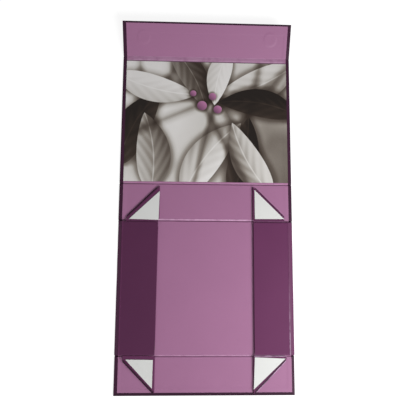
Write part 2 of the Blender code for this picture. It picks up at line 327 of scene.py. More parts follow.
def plainLook(name):
    form = plainLooks[name]
    look = Look(name, metallic=form.get("metallic", 0.0))
    tone = form["tone"]
    for scale, detail, share in form["noises"]:
        grain = look.speckle(scale, detail)
        tone = tone + grain * share
    if "flecks" in form:
        scale, low, high, share = form["flecks"]
        tone = tone - look.speckle(scale).step(low, high) * share
    gloss, glossShare = form["gloss"]
    colour = look.shade(form["colour"], tone)
    return look.paint(colour, gloss + grain * glossShare, grain, form["relief"])


# The lid's inner sheet carries a soft monochrome study of leaves, with a few mauve buds.
# Its places are in decimetres from the sheet's middle.
leafStudy = {
    "unit": 100 * mm,
    "leaves": [
        # across, along, turn in degrees, length, width, bend, tone, lit side
        (-1.15, -0.62, 62, 1.15, 0.30, 0.16, 0.16, -1),
        (-0.72, -0.95, 96, 1.05, 0.30, -0.14, 0.62, 1),
        (1.18, 0.78, 204, 1.20, 0.30, 0.12, 0.80, -1),
        (1.20, 0.10, 172, 1.05, 0.26, -0.16, 0.12, 1),
        (-0.30, -1.02, 52, 1.25, 0.30, 0.14, 0.86, -1),
        (0.34, -1.02, 78, 1.10, 0.26, -0.10, 0.14, 1),
        (0.86, -1.00, 118, 1.10, 0.27, 0.13, 0.72, -1),
        (-1.20, 0.62, -14, 1.10, 0.25, -0.12, 0.96, 1),
        (-0.46, 1.00, -62, 0.95, 0.24, 0.15, 0.40, -1),
        (0.30, 0.98, -104, 0.80, 0.21, -0.12, 0.98, 1),
    ],
    "outline": (0.62, 0.85),     # the powers that round a leaf at its foot and at its tip
    "fullness": 2.1,
    "soft": 0.010,
    "shadowEdge": (-0.10, 0.02),
    "shadow": 0.42,
    "rib": (0.012, 0.002),
    "ribTone": 0.13,
    "veins": (34, 62, 0.035),    # how close they lie along the leaf and outwards, and how clear
    "litTone": 0.17,
    "tipTone": 0.12,             # how much darker the tip is than the foot
    "least": 0.001,              # keeps a leaf's half width from 0
    # behind the leaves: noise, brightness, its fall to the right and its rise upwards
    "mist": (9, 1.5, 0.7),
    "light": 0.80,
    "mistTone": 0.9,
    "across": 0.16,
    "along": 0.10,
    "buds": [(-0.06, 0.20, 0.070), (0.08, 0.33, 0.055), (0.15, 0.15, 0.060), (-0.18, 0.37, 0.045)],
    "budColour": (0.42, 0.17, 0.32),
    "budEdge": 0.86,
    "budTone": (0.52, 0.22),     # at its middle, and how much it grows towards its lit side
    "budShadow": (1.7, 0.9, 0.4),
    "budBright": 1.5,
    "grain": 1400,
    "grainTone": 0.07,
    "gloss": (0.34, 0.1),
    "specular": 0.16,
    "relief": 0.01 * mm,
    "stops": [(0.0, (0.0085, 0.0052, 0.0038)), (0.22, (0.034, 0.0225, 0.0168)),
              (0.42, (0.118, 0.095, 0.079)), (0.58, (0.300, 0.268, 0.235)),
              (0.74, (0.595, 0.570, 0.540)), (1.0, (0.80, 0.78, 0.765))],
}


def leafOver(look, under, across, along, leaf):
    form = leafStudy
    atX, atY, turn, length, width, bend, tone, lit = leaf
    cosTurn = math.cos(math.radians(turn)) / length
    sinTurn = math.sin(math.radians(turn)) / length
    run = across * cosTurn + along * sinTurn - (atX * cosTurn + atY * sinTurn)
    side = along * cosTurn - across * sinTurn - (atY * cosTurn - atX * sinTurn)
    inside = run.above(0).below(1)
    side = side - (inside - inside * inside) * bend * 2
    footPower, tipPower = form["outline"]
    half = (inside ** footPower) * ((1 - inside) ** tipPower) * (width / length * form["fullness"])
    reach = abs(side)
    gap = half - reach
    mask = gap.step(0, form["soft"] / length)
    shadow = gap.step(*form["shadowEdge"])
    rib = reach.step(*form["rib"])
    veinRun, veinReach, veinTone = form["veins"]
    veins = (run * veinRun - reach * veinReach).wave() * veinTone
    roundness = side / (half + form["least"]) * (form["litTone"] * lit)
    body = tone + roundness + veins + rib * form["ribTone"] - inside * form["tipTone"]
    shaded = under - under * (shadow * form["shadow"])
    return shaded + (body - shaded) * mask


def lidPicture(low, high):
    form = leafStudy
    look = Look("leafStudyPrint", specular=form["specular"])
    unit = form["unit"]
    x, y = look.flatParts()
    across = (x - (low.x + high.x) / 2) / unit
    along = (y - (low.y + high.y) / 2) / unit
    mist = look.speckle(*form["mist"]) - noiseMiddle
    light = form["light"] + mist * form["mistTone"]
    light = light - across * form["across"] + along * form["along"]
    for leaf in form["leaves"]:
        light = leafOver(look, light, across, along, leaf)
    middleTone, sideTone = form["budTone"]
    shadowFar, shadowNear, shadowTone = form["budShadow"]
    budShare = None
    for atX, atY, size in form["buds"]:
        alongBud = along - atY
        acrossBud = across - atX
        away = (acrossBud * acrossBud + alongBud * alongBud) ** 0.5
        mask = away.step(size, size * form["budEdge"])
        shadow = away.step(size * shadowFar, size * shadowNear)
        ball = middleTone + (acrossBud + alongBud) * (sideTone / size)
        light = light - light * (shadow * shadowTone)
        light = light + (ball - light) * mask
        budShare = mask if budShare is None else budShare.above(mask)
    grain = look.speckle(form["grain"])
    light = light + (grain - noiseMiddle) * form["grainTone"]
    sepia = look.node("ValToRGB", {"stops": form["stops"]}, {0: light})
    tinted = look.shade(form["budColour"], light * form["budBright"])
    gloss, glossShare = form["gloss"]
    colour = look.mix(sepia, tinted, budShare)
    return look.paint(colour, gloss + grain * glossShare, grain, form["relief"])


looks = {
    "outer_wrap": satinPaper("wrap"),
    "inner_liner": satinPaper("liner"),
    "lid_print": lidPicture(*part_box("lid_print")),
    "grey_board": plainLook("greyBoard"),
    "tape": plainLook("adhesiveTapeFilm"),
    "release_paper": plainLook("whiteReleasePaper"),
    "magnet": plainLook("nickelMagnet"),
    "catch_plate": plainLook("catchSteel"),
}
slotOf = {part["node"]: part["material_slot"] for part in frame["record"]["subparts"]}
for name, node in frame["nodes"].items():
    node.data.materials.clear()
    node.data.materials.append(looks[slotOf[name]])
print("materials made:", len(looks))


# Shared modelling steps
smoothBelow = math.radians(40)   # where faces meet at less, the shading runs on
roundArc = 0.5                   # the bevel profile that is a round arc
rootTwo = math.sqrt(2)


def smooth(share):
    share = min(max(share, 0), 1)
    return share * share * (3 - 2 * share)


def fadeIn(place, band):
    # 0 up to where a band begins, then up to 1 over its length
    start, length = band
    return smooth((place - start) / length)


def loft(columns, rows, point, flip=False):
    # a grid whose vertices go where point says, by their shares across and along
    shape = bmesh.new()
    bmesh.ops.create_grid(shape, x_segments=columns, y_segments=rows, size=1)
    for vert in shape.verts:
        vert.co = point((vert.co.x + 1) / 2, (vert.co.y + 1) / 2)
    if flip:
        bmesh.ops.reverse_faces(shape, faces=shape.faces)
    return shape


def paintVerts(shape, name, amount):
    # a value at each vertex, from its place, for the papers' materials
    layer = shape.verts.layers.float.new(name)
    for vert in shape.verts:
        vert[layer] = amount(vert.co)


def cutShape(shape, place, normal, clear=False):
    # cuts all faces along a plane, and with clear takes away what lies behind it
    everything = shape.verts[:] + shape.edges[:] + shape.faces[:]
    bmesh.ops.bisect_plane(shape, geom=everything, plane_co=place, plane_no=normal, clear_inner=clear)


def roundEdges(shape, radius, steps):
    bmesh.ops.bevel(shape, geom=shape.edges[:], offset=radius, affect="EDGES", segments=steps,
                    profile=roundArc, material=-1)


def makePiece(shape, name, slot="outer_wrap", thickness=paper["thickness"], turn=None):
    # turns a bmesh into a finished piece; an open sheet gets its thickness on its inner side
    if turn is not None:
        bmesh.ops.transform(shape, matrix=turn, verts=shape.verts)
    mesh = bpy.data.meshes.new(name)
    shape.to_mesh(mesh)
    shape.free()
    piece = addItem(name, mesh)
    if thickness:
        wall = piece.modifiers.new("thickness", "SOLIDIFY")
        wall.thickness = thickness
        wall.offset = -1
        wall.use_even_offset = True
    bpy.context.view_layer.update()
    solid = piece.evaluated_get(bpy.context.evaluated_depsgraph_get())
    final = bpy.data.meshes.new_from_object(solid)
    piece.modifiers.clear()
    piece.data = final
    bpy.data.meshes.remove(mesh)
    final.name = name
    final.materials.clear()
    final.materials.append(looks[slot])
    final.shade_smooth()
    final.set_sharp_from_angle(angle=smoothBelow)
    return piece


def ripple(x, y, seed, height=paper["ripple"], spacing=paper["rippleSpacing"]):
    return height * noise.noise(Vector((x / spacing, y / spacing, seed)))


# Covered panels: the wrap runs under the board, up its edges and is turned in on top
shellForm = {
    "edgeSteps": 3,           # across the rounded edges
    "level": 0.99,            # a face whose normal's height is over this lies flat
    "spareShare": 2,          # an open end is cut back from this many turned-in widths
}

lip = paper["lipRun"]
border = paper["border"]
tuck = paper["tuck"]
linerHalf = halfWidth - border
wideHalf = halfWidth + paper["swell"]
frontHalf = halfWidth + paper["frontSwell"]
linerTop = panelTop + paper["linerRise"]
stripTop = panelTop + paper["linerRise"] * paper["stripRise"]
flapTurn = Matrix.Translation((0, flapStart, 0)) @ Matrix.Rotation(flapRaise, 4, "X")
sideSteps = [(0, sign * (halfWidth - paper["turnIn"]), -sign) for sign in (-1, 1)]


def wrapShell(name, halfX, near, far, top, openNear, openFar, body, turn=None, bottom=0.0):
    radius = paper["edgeRadius"]
    spare = paper["turnIn"] * shellForm["spareShare"]
    yLow = near - (spare if openNear else 0)
    yHigh = far + (spare if openFar else 0)
    shape = bmesh.new()
    bmesh.ops.create_cube(shape, size=1)
    bmesh.ops.scale(shape, vec=(halfX * 2, yHigh - yLow, top - bottom), verts=shape.verts)
    bmesh.ops.translate(shape, vec=(0, (yLow + yHigh) / 2, (top + bottom) / 2), verts=shape.verts)
    roundEdges(shape, radius, shellForm["edgeSteps"])
    upper = [face for face in shape.faces if face.normal.z > shellForm["level"]]
    window = max(upper, key=lambda face: face.calc_area())
    inset = paper["turnIn"] - radius
    bmesh.ops.inset_region(shape, faces=[window], thickness=inset, use_even_offset=True)
    bmesh.ops.delete(shape, geom=[window], context="FACES")
    for openEnd, place, facing in ((openNear, near, 1), (openFar, far, -1)):
        if openEnd:
            cutShape(shape, (0, place, 0), (0, facing, 0), clear=True)
    # painted shade on the turned-in wrap on top
    paintVerts(shape, "turnedIn", lambda place: smooth((place.z - top + radius) / radius))
    piece = makePiece(shape, name, turn=turn)
    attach(piece, body)
    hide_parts(body + "_wrap")
    return piece


def layerSheet(name, near, far, body, node, seed, halfX=linerHalf, top=linerTop, slip=paper["slip"],
               steps=sideSteps, turn=None, bulges=(), cell=paper["cell"]):
    # a glued sheet with a slow ripple; bulges are places that push it up, and steps are lines
    # across X (0) or Y (1) beyond which it lies a little lower
    def point(across, along):
        x = halfX * (across * 2 - 1) + slip
        y = near + (far - near) * along
        z = top + ripple(x, y, seed)
        for bulge in bulges:
            away = math.hypot(x - bulge["x"], y - bulge["y"])
            rise = 1 - smooth((away - bulge["radius"]) / bulge["shoulder"])
            z += bulge["height"] * rise - bulge["dish"] * (1 - smooth(away / bulge["radius"]))
        return x, y, z

    shape = loft(round(halfX * 2 / cell), round((far - near) / cell), point)
    for axis, place, facing in steps:
        normal = Vector((0, 0, 0))
        normal[axis] = 1
        for shift in (0, paper["stepWidth"]):
            cutShape(shape, normal * (place + facing * shift), normal)
    for vert in shape.verts:
        lower = [smooth((vert.co[axis] - place) * facing / paper["stepWidth"])
                 for axis, place, facing in steps]
        vert.co.z -= paper["stepDrop"] * min(lower, default=0)
    piece = makePiece(shape, name, slotOf[node], turn=turn)
    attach(piece, body)
    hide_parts(node)
    return piece


def turnedStrip(name, halfX, width, edge, inward, top, body, turn=None):
    # an end's turned-in strip lies over the side strips, its ends cut at 45 degrees
    radius = paper["edgeRadius"]

    def point(across, along):
        depth = radius + (width - radius) * along
        return (halfX - depth) * (across * 2 - 1), edge + inward * depth, top

    shape = loft(*paper["stripGrid"], point, flip=inward < 0)
    # painted shade on the end's turned-in strip
    paintVerts(shape, "turnedIn", lambda place: paper["endShade"])
    thickness = paper["thickness"] * paper["stripShare"]
    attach(makePiece(shape, name, thickness=thickness, turn=turn), body)


wrapShell("lidShell", wideHalf, lidStart + lip, lidEnd - lip, panelTop, True, True, "lid")
layerSheet("lidPrintSheet", lidStart + lip, lidEnd - paper["lidOverlap"], "lid", "lid_print", seed=2.3)
wrapShell("backWallShell", wideHalf, wallStart + lip, wallEnd - lip, panelTop, True, True, "back_wall")
layerSheet("backWallLiner", wallStart + lip, wallEnd - lip, "back_wall", "back_wall_liner", seed=4.1)
wrapShell("frontWallShell", frontHalf, -wallEnd, -wallStart - lip, panelTop, False, True, "front_wall")
layerSheet("frontWallLiner", -wallEnd + paper["frontBorder"], -wallStart - lip, "front_wall",
           "front_wall_liner", seed=5.7, slip=paper["frontSlip"],
           steps=sideSteps + [(1, -wallEnd + paper["turnIn"], 1)])
turnedStrip("frontWallTurnIn", frontHalf, paper["frontBorder"] + tuck, -wallEnd, 1, stripTop,
            "front_wall")
layerSheet("baseLiner", -baseEnd + lip, baseEnd - lip, "base", "base_liner", seed=7.9,
           halfX=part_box("base_liner")[1].x, slip=0.0, steps=())

# The closing flap, raised at rest. Its magnets push the liner up in two flat domes.
flapDomes = {
    "height": 0.24 * mm,      # they just touch the front wall when the box is shut
    "dish": 0.08 * mm,
    "inset": 0.9 * mm,        # the shoulder starts inside the magnet's edge
    "shoulder": 1.1 * mm,
    "cell": 1.1 * mm,
}


def flapPanel():
    bulges = []
    for name in ("magnet_left", "magnet_right"):
        low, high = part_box(name)
        middle = flapTurn.inverted() @ ((low + high) / 2)
        radius = (high.x - low.x) / 2 - flapDomes["inset"]
        bulges.append({**flapDomes, "x": middle.x, "y": middle.y, "radius": radius})
    wrapShell("flapShell", wideHalf, lip, flapLength, panelTop, True, False, "flap", turn=flapTurn)
    layerSheet("flapLiner", lip, flapLength - paper["flapBorder"], "flap", "flap_liner", seed=9.2,
               steps=sideSteps + [(1, flapLength - paper["endTurnIn"], -1)], turn=flapTurn,
               bulges=bulges, cell=flapDomes["cell"])
    turnedStrip("flapTurnIn", wideHalf, paper["flapBorder"] + tuck, flapLength, -1, stripTop, "flap",
                turn=flapTurn)


flapPanel()
print("panels covered")


# Creases: liner and wrap dip together into the gap between two boards
crease = {
    "floor": 0.9 * mm,
    "rise": 0.3 * mm,         # how far the underside is drawn up in the gap
    "nearSlope": (0.35 * mm, 1.20 * mm),   # measured from the panel nearer to the box's front
    "farSlope": (1.30 * mm, 2.95 * mm),
    "notch": 0.15 * mm,       # how far the wrap is drawn in at its sides
    "tuck": 0.8 * mm,         # how far it is turned in beyond the liner's edge
    "roundShare": 0.4,        # its edges are rounded over no more than this share of its height
    "columns": 36,
    "rows": 26,
    "nearLip": paper["lipRun"],            # how far the liner runs onto the first panel
    "wrapStart": 0.05 * mm,   # the wrap starts inside the gap where it doesn't run onto that panel
    "bend": (-0.05 * mm, 0.15 * mm),       # where the paper turns at rest, from the joint's axis
    "hinge": (0.40 * mm, 0.08 * mm),       # places before the axis, read but not used to move the paper
    "hingeTilt": 1.27,        # a lean, as a share of the turn at rest; read but not used
    "dark": (0.10 * mm, 1.50 * mm),        # painted shade on the groove's shaded side
    "pale": (1.35 * mm, 3.20 * mm),        # and its lit side, where a painted highlight lies
    "paleness": 0.95,
    "wash": 0.0,              # how strong the painted highlight is over the rest of the crease
    "paleEnd": 0.5 * mm,      # over what length it fades out towards the sides
    "darkness": 0.8,
    "fade": 0.4 * mm,         # how softly both lines begin and end
    "wrapDark": (0.3 * mm, 0.2 * mm),      # painted shade darkens the wrap from this height on, over this
    "swell": paper["swell"],
    # where a crease differs from the others
    "back": {"pale": (1.75 * mm, 3.80 * mm), "dark": (0.20 * mm, 1.70 * mm), "paleEnd": 30 * mm},
    "front": {"pale": (0.90 * mm, 2.70 * mm), "dark": (-0.50 * mm, 0.95 * mm), "darkness": 0.4,
              "paleEnd": 30 * mm, "swell": paper["frontSwell"]},
    "lid": {"paleness": 0.25, "darkness": 1.1},
    "flap": {"floor": 2.25 * mm, "nearLip": paper["lidOverlap"], "bend": (-0.6 * mm, 1.45 * mm),
             "hinge": (0.15 * mm, 0.0), "dark": (-5.4 * mm, -3.6 * mm), "darkness": 1.5,
             "pale": (-3.9 * mm, -1.6 * mm), "paleness": 0.75, "wash": 0.4},
}


def grooveShare(form, place):
    # 1 on the panels, 0 on the floor of the groove
    nearHigh, nearLow = form["nearSlope"]
    farLow, farHigh = form["farSlope"]
    down = smooth((nearLow - place) / (nearLow - nearHigh))
    up = smooth((place - farLow) / (farHigh - farLow))
    return max(down, up)


def bandShare(band, place):
    # 1 between two places, fading out inside them
    low, high = band
    fade = crease["fade"]
    return smooth((place - low) / fade) * smooth((high - place) / fade)


def makeCrease(word, edge, way, gap, turnB=0.0, lipA=True):
    # Panel A ends at edge, and panel B lies towards way in Y, with its axis a gap further. turnB is
    # how far panel B is turned at rest, and with lipA the wrap runs onto panel A too.
    form = {**crease, **crease.get(word, {})}
    axis = Vector((0, edge + way * gap, 0))
    bendStart, bendEnd = (gap + place for place in form["bend"])
    nearLip = form["nearLip"]
    wide = halfWidth + form["swell"]

    def placeOf(run):
        return run if way > 0 else gap - run

    def bent(x, run, z):
        share = smooth((run - bendStart) / (bendEnd - bendStart))
        flat = Vector((x, edge + way * run, z)) - axis
        return axis + Matrix.Rotation(turnB * share * way, 3, "X") @ flat

    def linerPoint(across, along):
        run = -nearLip + (gap + nearLip + lip) * along
        z = linerTop - (panelTop - form["floor"]) * (1 - grooveShare(form, placeOf(run)))
        return bent(linerHalf * (across * 2 - 1) + paper["slip"], run, z)

    runLow = -lip if lipA else form["wrapStart"]

    def wrapOutline(half, z, under):
        # from the turned-in edge round the side to the underside
        radius = min(paper["edgeRadius"], (z - under) * form["roundShare"])
        diagonal = radius * (1 - 1 / rootTwo)
        return [(half - border - form["tuck"], z), (half - radius, z), (half - diagonal, z - diagonal),
                (half, z - radius), (half, under + radius), (half - diagonal, under + diagonal),
                (half - radius, under)]

    wrapSteps = len(wrapOutline(wide, panelTop, 0)) * 2 - 1

    def wrapPoint(across, along):
        run = runLow + (gap + lip - runLow) * along
        share = grooveShare(form, placeOf(run))
        floor = form["floor"]
        z = floor + (panelTop - floor) * share
        path = wrapOutline(wide - form["notch"] * (1 - share), z, form["rise"] * (1 - share))
        step = round(across * wrapSteps)
        side = 1 if step < len(path) else -1
        x, height = path[min(step, wrapSteps - step)]
        return bent(side * x, run, height)

    # painted shade along the groove's shaded side
    def grooveShade(place):
        return form["darkness"] * bandShare(form["dark"], placeOf((place.y - edge) * way))

    # painted highlight on the groove's lit side
    def litSideHighlight(place):
        across = placeOf((place.y - edge) * way)
        lit = form["paleness"] * bandShare(form["pale"], across)
        rest = form["wash"] * bandShare((form["pale"][0], gap), across)
        return max(lit, rest) * smooth((linerHalf - abs(place.x)) / form["paleEnd"])

    liner = loft(form["columns"], form["rows"], linerPoint, flip=way < 0)
    paintVerts(liner, "turnedIn", grooveShade)
    paintVerts(liner, "worn", litSideHighlight)
    wrap = loft(wrapSteps, form["rows"], wrapPoint, flip=way < 0)
    # painted shade on the crease's wrap where it lies on top
    paintVerts(wrap, "turnedIn", lambda place: fadeIn(abs(place.z), form["wrapDark"]))
    facing = Matrix.Rotation(turnB * form["hingeTilt"] * way, 3, "X") @ Vector((0, way, 0))
    early, late = form["hinge"]
    pieces = (makePiece(liner, word + "CreaseLiner", "inner_liner"), makePiece(wrap, word + "CreaseWrap"))
    for piece in pieces:
        axis - facing * early
        axis - facing * late
        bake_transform(piece)
    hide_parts(word + "_crease_paper")


makeCrease("back", baseEnd, 1, creaseGap, lipA=False)
makeCrease("front", -baseEnd, -1, creaseGap, lipA=False)
makeCrease("lid", wallEnd, 1, lidStart - wallEnd)
makeCrease("flap", lidEnd, 1, flapStart - lidEnd, turnB=flapRaise)
print("creases folded")


# Side walls, folded in with their outer face up. u counts inwards from the box's side.
sideWall = {
    "standOff": 0.3 * mm,     # the wrap stands off the board's free edge
    "seamInset": 0.28 * mm,   # the seam with the tab's paper lies this far beyond the base's end
    "seamGap": 0.65 * mm,     # between the cover's end and the tab's paper
    "seamDip": 0.34 * mm,
    "seamRun": 1.3 * mm,
    "shellDrop": 0.05 * mm,   # the turned-in shell lies under the cover
    "turnIn": 4.0 * mm,
    "coverStart": 0.9 * mm,
    "coverGrid": (12, 256),
    "ripple": 0.06 * mm,
    "edgeShare": 0.6,         # of the edge's radius, which the cover leaves free
    "skew": {"left": 0.5 * mm, "right": 0.1 * mm},   # how far a free edge runs off the parallel
    "shade": {"left": 0.36, "right": -0.18},   # painted shade on the left cover and painted light on the right one
    # the fold's outline in mm from the ridge outwards and under: how far in, and how high
    "fold": {"left": [(4.75, 5.28), (4.3, 4.98), (3.5, 4.25), (2.7, 3.5), (1.9, 2.75), (1.15, 2.1),
                      (0.5, 1.55), (0.12, 1.15), (0.0, 0.85), (0.12, 0.45), (0.62, 0.1), (1.3, 0.0)],
             "right": [(4.75, 5.28), (4.0, 5.02), (3.0, 4.62), (1.9, 4.05), (0.95, 3.35), (0.35, 2.6),
                       (0.06, 1.85), (0.0, 1.25), (0.16, 0.62), (0.62, 0.14), (1.3, 0.0)]},
    "ridge": 0.10 * mm,       # how high the fold's edge stands on the cover
    # over that edge: how far in, and the share of its height
    "over": [(0.10 * mm, 0.8), (0.45 * mm, 1.0), (1.10 * mm, 0.3)],
    "foldRows": 36,
    "foldSwell": 0.5 * mm,    # how far the fold stands out beyond its place
    "unevenShare": 0.05,      # by what share its depth changes along it
    "unevenRun": 30 * mm,
    "unevenSeed": 2.0,
    "worn": {"left": 0.0, "right": 0.75},   # the painted highlight on the ridge, strongest towards the front
    "wornReach": 1.3,         # how far back that goes, in half lengths of the base
}
sideFar = halfWidth + sideHigh.x + sideWall["standOff"]
seam = baseEnd + sideWall["seamInset"]   # the covers end before the upright end walls


def skewEdge(piece, sign, amount):
    for vert in piece.data.vertices:
        u = halfWidth - sign * vert.co.x
        share = min(max((u - sideNear) / (sideFar - sideNear), 0), 1)
        vert.co.x -= sign * amount * share * vert.co.y / sideEnd


def sideWallPieces(word, sign):
    body = word + "_wall"
    turnIn = sideWall["turnIn"]
    height = sideTop - sideLow.z
    # upside down, with the panel's own Y inwards
    frameTurn = Matrix(((0, -sign, 0, sign * halfWidth),
                        (-sign, 0, 0, 0),
                        (0, 0, -1, sideTop),
                        (0, 0, 0, 1)))
    shell = wrapShell(word + "WallShell", sideEnd, sideNear, sideFar, height, True, False, body,
                      turn=frameTurn, bottom=sideWall["shellDrop"])
    liner = layerSheet(word + "WallLiner", sideNear, sideFar - turnIn, body, body + "_liner", seed=11.5,
                       halfX=sideEnd - turnIn, top=height + paper["linerRise"], slip=0.0, steps=(),
                       turn=frameTurn)
    coverEnd = seam - sideWall["seamGap"] / 2
    coverStart = sideNear + sideWall["coverStart"]
    coverFar = sideFar - paper["edgeRadius"] * sideWall["edgeShare"]

    def point(across, along):
        u = coverStart + (coverFar - coverStart) * across
        y = coverEnd * (along * 2 - 1)
        dip = 1 - smooth((coverEnd - abs(y)) / sideWall["seamRun"])
        uneven = ripple(u, y, seed=13.0 + sign, height=sideWall["ripple"])
        z = sideTop + uneven - sideWall["seamDip"] * dip
        return sign * (halfWidth - u), y, z

    shape = loft(*sideWall["coverGrid"], point, flip=sign > 0)
    # painted shade on the left cover, painted light on the right one
    paintVerts(shape, "turnedIn", lambda place: sideWall["shade"][word])
    cover = makePiece(shape, word + "WallCover")
    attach(cover, body)
    for piece in (shell, liner, cover):
        skewEdge(piece, sign, sideWall["skew"][word])


def foldProfile(word):
    # from under the base, round the fold and over the side wall's board edge
    start = [(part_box("left_wall_board")[0].x + halfWidth, 0.0)]
    around = [(inwards * mm, height * mm) for inwards, height in reversed(sideWall["fold"][word])]
    over = [(sideNear + inwards, sideTop + sideWall["ridge"] * share) for inwards, share in sideWall["over"]]
    return start + around + over


def sideFold(word, sign):
    profile = foldProfile(word)

    def point(across, along):
        u, z = profile[round(across * (len(profile) - 1))]
        y = baseEnd * (along * 2 - 1)
        uneven = noise.noise(Vector((y / sideWall["unevenRun"], sign, sideWall["unevenSeed"])))
        swell = 1 + sideWall["unevenShare"] * uneven
        if u < sideNear:
            u = max(sideNear - (sideNear - u) * swell, 0)
            u -= sideWall["foldSwell"] * (1 - u / sideNear)
        return sign * (halfWidth - u), y, z

    # painted highlight along the fold's ridge
    def highlighted(place):
        near = 1 - smooth((place.y / baseEnd + 1) / sideWall["wornReach"])
        top = smooth((place.z - sideTop) / (sideWall["ridge"] * sideWall["over"][0][1]))
        return sideWall["worn"][word] * near * top

    shape = loft(len(profile) - 1, sideWall["foldRows"], point, flip=sign > 0)
    paintVerts(shape, "worn", highlighted)
    piece = makePiece(shape, word + "Fold")
    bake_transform(piece)
    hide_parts(word + "_fold_paper")


for word, sign in (("left", -1), ("right", 1)):
    sideWallPieces(word, sign)
    sideFold(word, sign)
print("side walls folded in")


# Corner tabs: each is a right triangle with a blunt outer end, its legs along the crease and the
# free edge and its long side on a 45 degree hinge. They were cut and taped by hand, each differently.
tab = {
    "edgeRadius": 0.4 * mm,
    "edgeSteps": 2,
    # how far the free edges and the long side lie beyond their places
    "reach": {"backLeft": 2.0 * mm, "backRight": 0.8 * mm, "frontLeft": 0.0, "frontRight": 1.6 * mm},
    "slant": {"backLeft": 0.0, "backRight": 1.1 * mm, "frontLeft": 0.5 * mm, "frontRight": 0.0},
    # painted highlight on the seam's paper and at the hinge's foot
    "worn": {"backLeft": 0.0, "backRight": 0.12, "frontLeft": 0.0, "frontRight": 0.9},
    # painted shade on the hinge paper, on the tab and over its edge
    "shade": {"backLeft": (0.5, 1.1), "backRight": (0.1, 1.1), "frontLeft": (1.0, 1.35),
              "frontRight": (1.0, 1.35)},
    "lipShort": 4.7 * mm,     # the paper at the seam clears the base when the tab is turned over
    # in mm outwards from the seam: how far, and how high above the tab
    "lip": [(0.0, 0.22), (0.5, 0.30), (1.4, 0.24), (2.4, 0.13), (3.3, 0.07), (4.2, 0.05)],
    "lipWorn": (0.5 * mm, 0.8 * mm),       # its painted highlight runs up to this, and fades out over this
    "lipColumns": 10,
    # in mm across the hinge, outwards from its axis: how far, and at what height
    "hinge": [(-2.2, 4.86), (-1.2, 4.88), (-0.6, 4.86), (-0.25, 4.72), (0.0, 4.4), (0.5, 2.85),
              (0.75, 2.62), (1.0, 2.55), (1.35, 2.53)],
    "hingeRows": 24,
    "hingeEnds": (1.6 * mm, 0.6 * mm),     # what its paper leaves free at the outer end and the tip
    "hingeBend": (3.2 * mm, 4.0 * mm),
    "hingePaper": 0.12 * mm,
    # where a painted shade begins and over what length: across the tab, and in height at its edge; at its foot,
    # where the painted highlight fades
    "onTab": (-2.3 * mm, 0.6 * mm),
    "atEdge": (4.4 * mm, 0.4 * mm),
    "atFoot": (2.56 * mm, 0.5 * mm),
}
tape = {
    # how far the inner corner lies from where it should, turn in degrees, leg
    "backLeft": (1.7 * mm, -2.1 * mm, -1.5, 37.8 * mm),
    "backRight": (1.0 * mm, 0.2 * mm, 0.3, 38.3 * mm),
    "frontLeft": (-1.8 * mm, -1.2 * mm, -0.8, 34.0 * mm),
    "frontRight": (-0.5 * mm, 1.7 * mm, -2.4, 38.6 * mm),
    "overhang": 0.3 * mm,     # how far the release paper stands out beyond the tape
    "curl": 0.07 * mm,        # how far its corners lift
    "curlPower": 4,
    "rippleShare": 0.3,       # of the curl
    "rippleSpacing": 20 * mm,
    "seed": 3.0,
    "cuts": 11,
}


def tabCorners(node, xSign, ySign, reach, slant):
    # the outline of a tab, read from its box: blunt outer end, inner corner and tip
    low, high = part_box(node)
    inX = low.x if xSign > 0 else high.x
    outX = high.x if xSign > 0 else low.x
    legY = low.y if ySign > 0 else high.y
    tipY = high.y if ySign > 0 else low.y
    bluntY = tipY - ySign * (abs(outX - inX) - slant * rootTwo)
    inX -= xSign * reach
    tipY += ySign * (reach + slant * rootTwo)
    return [(outX, legY), (inX, legY), (inX, tipY), (outX, bluntY)], low.z, high.z


def slabOf(corners, low, high):
    shape = bmesh.new()
    face = shape.faces.new([shape.verts.new((x, y, low)) for x, y in corners])
    raised = bmesh.ops.extrude_face_region(shape, geom=[face])["geom"]
    bmesh.ops.translate(shape, vec=(0, 0, high - low),
                        verts=[part for part in raised if isinstance(part, bmesh.types.BMVert)])
    bmesh.ops.recalc_face_normals(shape, faces=shape.faces)
    roundEdges(shape, tab["edgeRadius"], tab["edgeSteps"])
    return shape


def triangleSheet(name, slot, corners, low, high, curl):
    shape = bmesh.new()
    face = shape.faces.new([shape.verts.new((x, y, high)) for x, y in corners])
    face.normal_update()
    if face.normal.z < 0:
        bmesh.ops.reverse_faces(shape, faces=[face])
    bmesh.ops.subdivide_edges(shape, edges=shape.edges[:], cuts=tape["cuts"], use_grid_fill=True)
    middle = sum((Vector(corner) for corner in corners), Vector((0, 0))) / 3
    far = max((Vector(corner) - middle).length for corner in corners)
    for vert in shape.verts:
        away = (vert.co.xy - middle).length / far
        uneven = ripple(vert.co.x, vert.co.y, tape["seed"], curl * tape["rippleShare"],
                        tape["rippleSpacing"])
        vert.co.z += curl * away ** tape["curlPower"] + uneven
    shape.normal_update()
    return makePiece(shape, name, slot, high - low)


def tapedTriangle(name, node, body, xSign, ySign):
    # double-sided tape under its release paper, laid on the tab by hand
    slipX, slipY, turn, leg = tape[name]
    low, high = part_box(node + "_release_paper")
    turned = Matrix.Rotation(math.radians(turn), 2)
    corner = Vector(((low.x if xSign > 0 else high.x) + slipX, (low.y if ySign > 0 else high.y) + slipY))
    arms = ((0, 0), (xSign * leg, 0), (0, ySign * leg))
    corners = [corner + turned @ Vector(arm) for arm in arms]
    sheet = triangleSheet(name + "ReleasePaper", "release_paper", corners, low.z, high.z, tape["curl"])
    inside = leg * (1 - 1 / rootTwo)   # the inscribed circle's radius
    centre = corner + turned @ Vector((xSign, ySign)) * inside
    shrink = 1 - tape["overhang"] / inside
    smaller = [centre + (place - centre) * shrink for place in corners]
    low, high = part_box(node + "_tape")
    film = triangleSheet(name + "Tape", "tape", smaller, low.z, high.z, 0.0)
    for piece, part in ((sheet, "_release_paper"), (film, "_tape")):
        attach(piece, body)
        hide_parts(node + part)


